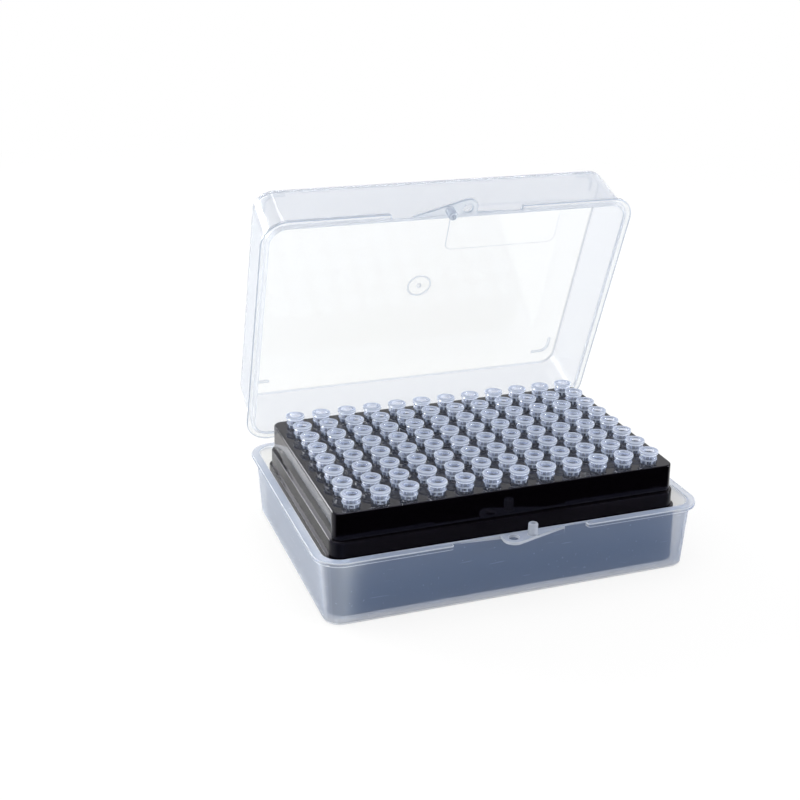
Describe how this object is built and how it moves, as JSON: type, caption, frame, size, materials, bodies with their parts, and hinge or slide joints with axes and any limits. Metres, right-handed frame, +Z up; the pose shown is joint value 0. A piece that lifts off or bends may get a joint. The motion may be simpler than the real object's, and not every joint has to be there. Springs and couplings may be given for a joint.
{
  "type": "box of pipette tips",
  "caption": "Hinged translucent box for small pipette tips, lid part open, with a black three-tier rack that holds a grid of clear ribbed tips.",
  "frame": {"origin": "middle of the underside of the base, on the surface it stands on", "axes": "+X along the box's long side, +Y from the latch at the front to the hinge at the back, +Z up"},
  "size_m": [0.1266, 0.1139, 0.1137],
  "materials": {
    "natural_box_plastic": "natural polypropylene, moulded, cloudy clear",
    "black_rack_plastic": "black, moulded, polished",
    "natural_tip_plastic": "natural polypropylene, moulded, cloudy clear"
  },
  "bodies": {
    "base": {"base_box": "natural_box_plastic", "hinge_web": "natural_box_plastic", "tip_rack": "black_rack_plastic", "tips_column_01": "natural_tip_plastic", "tips_column_02": "natural_tip_plastic", "tips_column_03": "natural_tip_plastic", "tips_column_04": "natural_tip_plastic", "tips_column_05": "natural_tip_plastic", "tips_column_06": "natural_tip_plastic", "tips_column_07": "natural_tip_plastic", "tips_column_08": "natural_tip_plastic", "tips_column_09": "natural_tip_plastic", "tips_column_10": "natural_tip_plastic", "tips_column_11": "natural_tip_plastic", "tips_column_12": "natural_tip_plastic"},
    "lid": {"lid": "natural_box_plastic"}
  },
  "joints": [
    {"name": "lid_hinge", "type": "hinge", "parent": "base", "child": "lid", "pos_m": [0, 0.04678, 0.0224], "axis": [-1, 0, 0], "range_deg": [-68.2, 111.8], "deforming": ["hinge_web"]}
  ]
}
